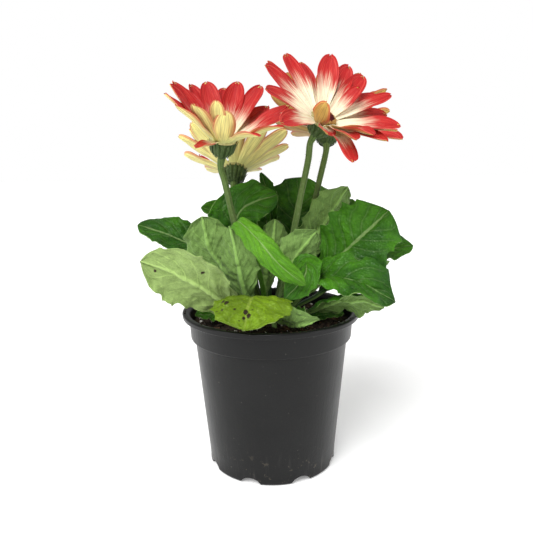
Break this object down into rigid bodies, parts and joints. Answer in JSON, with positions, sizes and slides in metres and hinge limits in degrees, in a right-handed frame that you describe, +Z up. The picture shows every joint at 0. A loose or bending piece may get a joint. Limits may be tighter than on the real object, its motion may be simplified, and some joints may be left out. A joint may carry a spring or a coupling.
{
  "type": "potted gerbera",
  "caption": "Potted gerbera daisy in bloom: red and cream flowers on bare stalks above a rosette of lobed leaves, in a tapered plastic nursery pot",
  "frame": {"origin": "centre of the pot's underside, on the ground", "axes": "+Z up out of the pot, +Y away from the viewer of the picture, +X to the viewer's right"},
  "size_m": [0.2076, 0.174, 0.2986],
  "materials": {
    "pot": "satin",
    "soil": "rough, crumbly",
    "leaf": "satin",
    "young_leaf": "satin",
    "scape": "downy",
    "bracts": "downy",
    "petals": "satin",
    "florets": "matt"
  },
  "bodies": {
    "root": {"bracts_behind_left": "bracts", "bracts_behind_right": "bracts", "bracts_front_left": "bracts", "bracts_front_right": "bracts", "florets_behind_left": "florets", "florets_behind_right": "florets", "florets_front_left": "florets", "florets_front_right": "florets", "leaf_back_right": "leaf", "leaf_back_tall": "leaf", "leaf_behind": "leaf", "leaf_behind_left": "leaf", "leaf_behind_right": "leaf", "leaf_front_left": "leaf", "leaf_front_mid": "leaf", "leaf_front_right": "leaf", "leaf_front_rolled": "leaf", "leaf_inner": "leaf", "leaf_left_back": "leaf", "leaf_left_low": "leaf", "leaf_left_mid": "leaf", "leaf_right_back": "leaf", "leaf_right_big": "leaf", "leaf_right_folded": "leaf", "leaf_right_low": "leaf", "leaf_right_upper": "leaf", "leaf_small_front": "leaf", "leaf_sunk_left": "leaf", "leaf_sunk_right": "leaf", "leaf_upper_left": "leaf", "leaf_upper_left_back": "leaf", "leaf_yellowing": "young_leaf", "leaf_young_tall": "young_leaf", "petals_behind_left": "petals", "petals_behind_right": "petals", "petals_front_left": "petals", "petals_front_right": "petals", "pot": "pot", "scape_behind_left": "scape", "scape_behind_right": "scape", "scape_front_left": "scape", "scape_front_right": "scape", "soil": "soil"}
  },
  "joints": []
}
